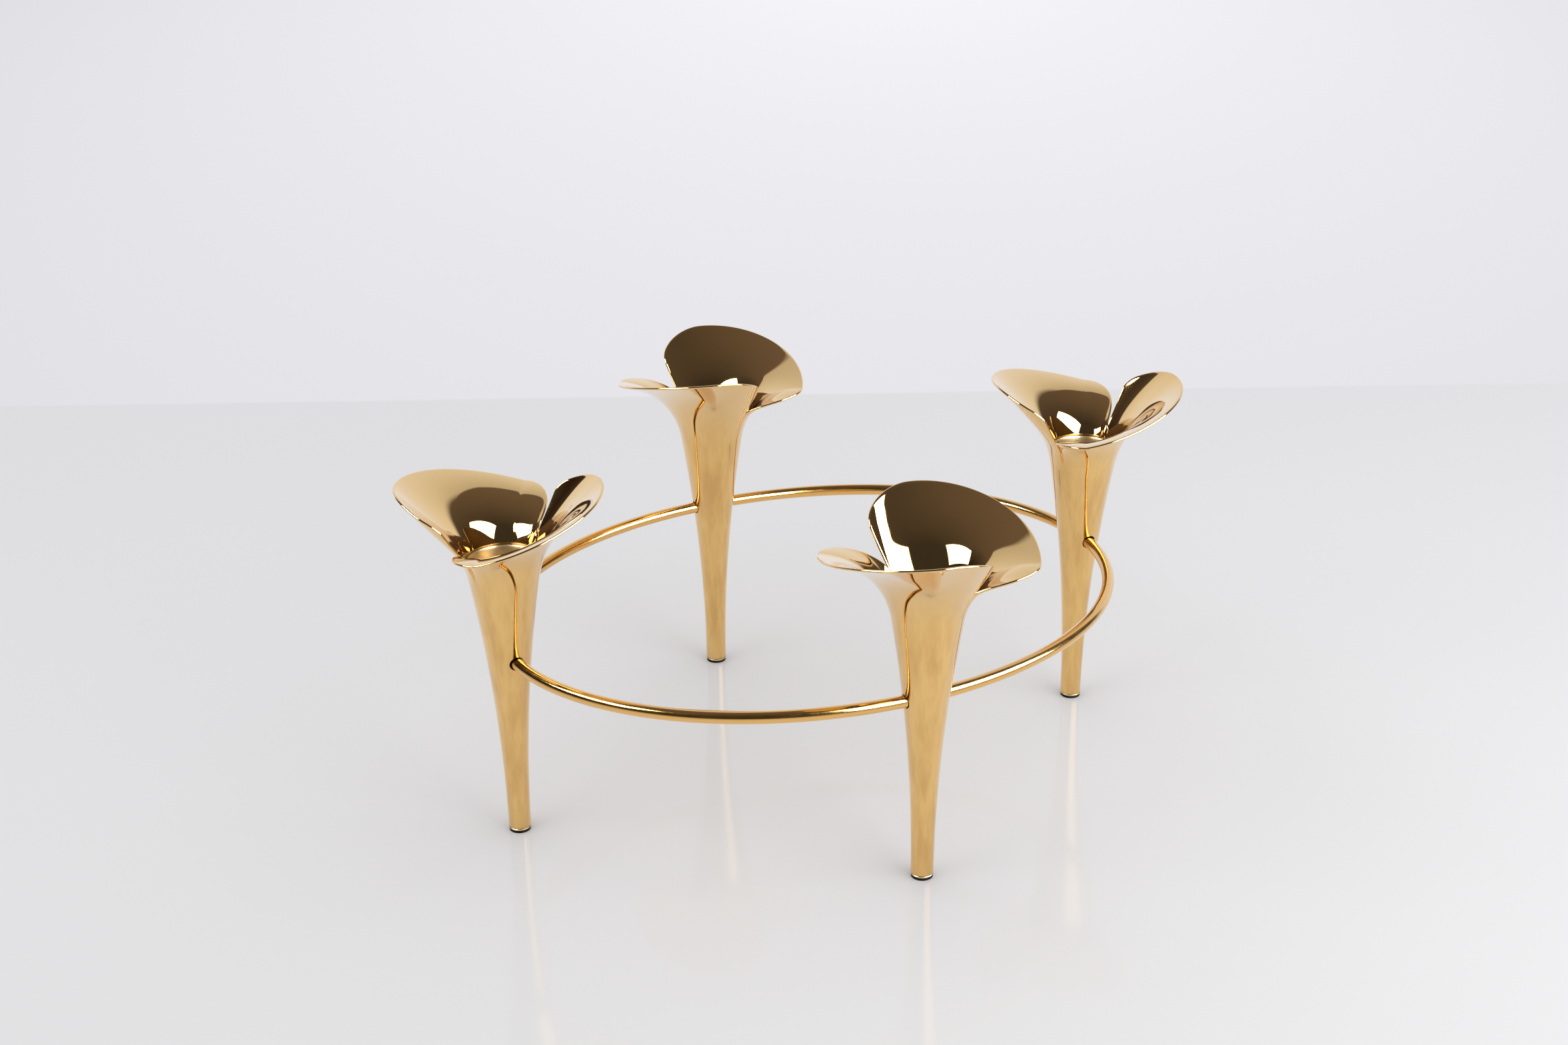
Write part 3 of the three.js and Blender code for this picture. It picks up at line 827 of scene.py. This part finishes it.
# Soft boxes
GLOW = 4.4  # brightness as the metal shows it
GLOW_AHEAD = 0.01  # the bright lamp stands in front of the dim one, so that rays meet it first
GLOW_FADE = {"From Min": 0.5, "From Max": 0.45}  # from its middle, in shares of its size
SECOND_GLOW = 0.2  # share of it left in a reflection of a reflection


def white_acrylic_board(tree, place, finishes):
    """Glossy white acrylic board: pale, with a soft reflection of what stands on it. Past the
    board's far edge the same plane shows the slightly paler paper backdrop, and far off all
    round it fades into the plain paper behind."""
    turned = add_node(tree, "Mapping", {
        0: place, "Location": (*BOARD_EDGE, 0),
        "Rotation": (0, 0, BOARD_EDGE_BEARING)}, vector_type="TEXTURE")
    across = add_node(tree, "SeparateXYZ", {0: turned}).outputs["Y"]
    distance = add_node(tree, "VectorMath", {0: place}, operation="LENGTH")
    far_off = add_node(tree, "MapRange", {"Value": distance, **BOARD_FADE}, **SMOOTH)
    farthest = add_node(tree, "MapRange", {"Value": distance, **PAPER_FADE}, **SMOOTH)
    past = add_node(tree, "MapRange", {
        "Value": across, "From Min": -0.002, "From Max": 0.002, "To Min": far_off})
    board = add_node(tree, "BsdfPrincipled", {
        "Base Color": finishes.board, "Roughness": 0.09, "Specular IOR Level": 0.15})
    # the light on the paper fades from a spot that lies far behind, a little to the right
    spot = add_node(tree, "Mapping", {
        0: place, "Location": (*PAPER_SPOT, 0), "Rotation": (0, 0, CAMERA_BEARING),
        "Scale": (*PAPER_SPOT_SIZE, 1)}, vector_type="TEXTURE")
    away = add_node(tree, "VectorMath", {0: spot}, operation="LENGTH")
    shade = add_node(tree, "MapRange", {"Value": away, **PAPER_SHADE})
    tone = add_node(tree, "Mix", {
        "Factor": shade, "A": finishes.backdrop, "B": finishes.backdrop_edge},
        data_type="RGBA")
    tone = add_node(tree, "Mix", {
        "Factor": farthest, "A": tone, "B": finishes.backdrop}, data_type="RGBA")
    paper = add_node(tree, "Emission", {"Color": tone})
    mix = add_node(tree, "MixShader", {0: past, 1: board, 2: paper})
    add_node(tree, "OutputMaterial", {"Surface": mix})


def studio_world():
    """A dim room with a wide paper backdrop behind the board. The camera sees plain paper. Metal
    sees the backdrop as a flat sheet, sharp on the left and soft on the right, and round it the
    dark room with a paler ceiling. All else gets even light. The sheet lies within limits of the
    direction's level and upright slopes; the ceiling's share grows as the direction nears one
    that points up and back over the sheet."""
    world = bpy.data.worlds.new("paper_studio")
    world.use_nodes = True
    tree = world.node_tree
    tree.nodes.clear()

    light = add_node(tree, "LightPath")
    way = add_node(tree, "TexCoord").outputs["Generated"]
    turned = add_node(tree, "Mapping", {
        0: way, "Rotation": (0, 0, math.pi / 2 - CAMERA_BEARING)})
    right, forward, up = add_node(tree, "SeparateXYZ", {0: turned}).outputs
    ahead = add_node(tree, "Math", {0: forward, 1: 0.001}, operation="MAXIMUM")
    across = add_node(tree, "Math", {0: right, 1: ahead}, operation="DIVIDE")
    rise = add_node(tree, "Math", {0: up, 1: ahead}, operation="DIVIDE")
    on_sheet = 1.0
    for slope, (start, whole) in ((across, SHEET_LEFT), (across, SHEET_RIGHT), (rise, SHEET_TOP)):
        on_sheet = add_node(tree, "MapRange", {
            "Value": slope, "From Min": start, "From Max": whole, "To Max": on_sheet}, **SMOOTH)
    up_sheet = add_node(tree, "MapRange", {"Value": rise, "From Max": SHEET_TOP[0]}, **SMOOTH)
    sheet = add_node(tree, "Mix", {
        "Factor": up_sheet, "A": linear(SHEET_LOW), "B": linear(SHEET_HIGH)}, data_type="RGBA")
    overhead = add_node(tree, "VectorMath", {0: turned, 1: CEILING_WAY}, operation="DOT_PRODUCT")
    ceiling = add_node(tree, "MapRange", {"Value": overhead, "From Min": 0.2})
    room = add_node(tree, "Mix", {
        "Factor": ceiling, "A": linear(ROOM_DARK), "B": linear(ROOM_CEILING)},
        data_type="RGBA")
    leftward = add_node(tree, "MapRange", {"Value": right, **ROOM_LEFT_FADE})
    room = add_node(tree, "Mix", {
        "Factor": leftward, "A": room, "B": linear(ROOM_LEFT)}, data_type="RGBA")
    mirrored = add_node(tree, "Mix", {"Factor": on_sheet, "A": room, "B": sheet},
                        data_type="RGBA")
    mirror = add_node(tree, "Background", {"Color": mirrored})
    even = add_node(tree, "Background", {"Color": linear(EVEN_LIGHT)})
    paper = add_node(tree, "Background", {"Color": sizes_of("finishes").backdrop})
    lit = add_node(tree, "MixShader", {0: light.outputs["Is Diffuse Ray"], 1: mirror, 2: even})
    seen = add_node(tree, "MixShader", {0: light.outputs["Is Camera Ray"], 1: lit, 2: paper})
    add_node(tree, "OutputWorld", {"Surface": seen})
    return world


def soften(lamp):
    """Lets a soft box fall off near its edges, hides it from light that has already met a dull
    surface, and dims it where the metal shows it by way of a second reflection."""
    lamp.use_nodes = True
    tree = lamp.node_tree
    tree.nodes.clear()
    place = add_node(tree, "NewGeometry").outputs["Parametric"]
    offset = add_node(tree, "VectorMath", {0: place, 1: (0.5, 0.5, 0)}, operation="SUBTRACT")
    offset = add_node(tree, "VectorMath", {0: offset}, operation="ABSOLUTE")
    across, up, _ = add_node(tree, "SeparateXYZ", {0: offset}).outputs
    farther = add_node(tree, "Math", {0: across, 1: up}, operation="MAXIMUM")
    bounces = add_node(tree, "LightPath").outputs
    shown = add_node(tree, "Math", {0: bounces["Diffuse Depth"], 1: 0.5}, operation="LESS_THAN")
    first = add_node(tree, "MapRange", {
        "Value": bounces["Glossy Depth"], "From Min": 1.0, "From Max": 2.0,
        "To Min": 1.0, "To Max": SECOND_GLOW})
    shown = add_node(tree, "Math", {0: shown, 1: first}, operation="MULTIPLY")
    fade = add_node(tree, "MapRange", {"Value": farther, **GLOW_FADE, "To Max": shown}, **SMOOTH)
    glow = add_node(tree, "Emission", {"Strength": fade})
    add_node(tree, "OutputLight", {"Surface": glow})


def soft_box(name, inner, outer, low, high, light, dull, roll=0.0):
    """An upright soft box between two points of the ground, given to the right of the ring's
    middle and back towards the camera, between two heights, and rolled so that its outer end
    rises. It is a bright lamp that only the metal's reflections show and a dimmer one for all
    else, so that the board stays evenly lit. The bright one leaves out the objects in the
    collection dull."""
    back = Vector((-math.cos(CAMERA_BEARING), -math.sin(CAMERA_BEARING), 0))
    right = Vector((math.sin(CAMERA_BEARING), -math.cos(CAMERA_BEARING), 0))
    near, far = (right * edge[0] + back * edge[1] for edge in (inner, outer))
    middle = (near + far) / 2
    up = Vector((0, 0, 1))
    face = (far - near).cross(up).normalized()
    if face.dot(middle) > 0:
        face = -face
    along = (far - near).normalized()
    lean = up * math.cos(roll) - along * math.sin(roll)
    turn = Matrix((lean.cross(-face), lean, -face)).transposed().to_4x4()
    for part, radiance, ahead in (("_light", light, 0), ("_glow", GLOW, GLOW_AHEAD)):
        lamp = bpy.data.lights.new(name + part, "AREA")
        lamp.shape, lamp.size, lamp.size_y = "RECTANGLE", (far - near).length, high - low
        lamp.energy = radiance * 4 * math.pi * lamp.size * lamp.size_y
        holder = bpy.data.objects.new(name + part, lamp)
        bpy.context.scene.collection.objects.link(holder)
        place = middle + up * (low + high) / 2 + face * ahead
        holder.matrix_world = Matrix.Translation(place) @ turn
        holder.visible_camera = False
        holder.visible_diffuse = part == "_light"
        holder.visible_glossy = part == "_glow"
        if part == "_glow":
            soften(lamp)
            holder.light_linking.receiver_collection = dull


def photo_camera():
    """The camera at the photograph's place, from its bearing, pitch and roll."""
    data = bpy.data.cameras.new("photo_camera")
    data.sensor_width = SENSOR
    data.lens = FOCAL_PIXELS * SENSOR / PHOTO_WIDTH
    data.clip_start, data.clip_end = 0.01, 50
    turn = (Matrix.Rotation(CAMERA_BEARING - math.pi / 2, 4, "Z")
            @ Matrix.Rotation(math.pi / 2 - CAMERA_PITCH, 4, "X")
            @ Matrix.Rotation(CAMERA_ROLL, 4, "Z"))
    camera = bpy.data.objects.new("photo_camera", data)
    camera.matrix_world = Matrix.Translation(CAMERA_PLACE) @ turn
    bpy.context.scene.collection.objects.link(camera)
    return camera


class MakeStage(bpy.types.Operator):
    """Make the board, the studio's light and the camera"""
    bl_idname = "candelabra.make_stage"
    bl_label = "Stage"

    def execute(self, context):
        scene = context.scene
        corners = BOARD_HALF * np.array([[-1, -1, 0], [1, -1, 0], [1, 1, 0], [-1, 1, 0]])
        board = mesh_from("board", corners, [[0, 1, 2, 3]])
        board.data.materials.append(shared(white_acrylic_board))
        scene.world = studio_world()
        dull = bpy.data.collections.new("not_in_the_glow")
        dull.objects.link(board)
        dull.collection_objects[0].light_linking.link_state = "EXCLUDE"
        soft_box("soft_box_left", (-0.36, 0.43), (-0.78, 0.06), 0.44, 0.74, 0.42, dull,
                 math.radians(16))
        soft_box("soft_box_right", (0.30, 0.62), (1.00, 0.00), 0.18, 0.75, 0.38, dull)
        scene.camera = photo_camera()
        scene.view_settings.view_transform = "Standard"
        return {"FINISHED"}


class CandelabraPanel(bpy.types.Panel):
    """Sizes, colours and steps of the candelabra"""
    bl_idname = "VIEW3D_PT_candelabra"
    bl_label = "Candelabra"
    bl_space_type = "VIEW_3D"
    bl_region_type = "UI"
    bl_category = "Candelabra"

    def draw(self, context):
        for group, kind in GROUPS.items():
            box = self.layout.box()
            for name in kind.__annotations__:
                box.prop(sizes_of(group), name)
        for step in STEPS:
            self.layout.operator(step.bl_idname)


GROUPS = {
    "trumpet": TrumpetSizes,
    "ring": RingSizes,
    "cup": CupSizes,
    "foot": FootSizes,
    "finishes": Finishes,
    "fineness": Fineness,
}
STEPS = (MakeTrumpets, MakeCandleCups, MakeCupScrews, MakeRing, MakeFootPlugs, MakeFootPads,
         FinishInnerFittings, MakeStage)


def register():
    """Adds the settings, the operators and the panel."""
    for kind in (*GROUPS.values(), *STEPS, CandelabraPanel):
        bpy.utils.register_class(kind)
    for group, kind in GROUPS.items():
        setattr(bpy.types.Scene, "candelabra_" + group, PointerProperty(type=kind))


def unregister():
    """Takes them away again."""
    for group in GROUPS:
        delattr(bpy.types.Scene, "candelabra_" + group)
    for kind in reversed((*GROUPS.values(), *STEPS, CandelabraPanel)):
        bpy.utils.unregister_class(kind)


def main():
    """Makes every piece and the stage."""
    register()
    bpy.ops.candelabra.make_trumpets()
    bpy.ops.candelabra.make_candle_cups()
    bpy.ops.candelabra.make_cup_screws()
    bpy.ops.candelabra.make_ring()
    bpy.ops.candelabra.make_foot_plugs()
    bpy.ops.candelabra.make_foot_pads()
    bpy.ops.candelabra.finish_inner_fittings()
    bpy.ops.candelabra.make_stage()


if __name__ == "__main__":
    main()
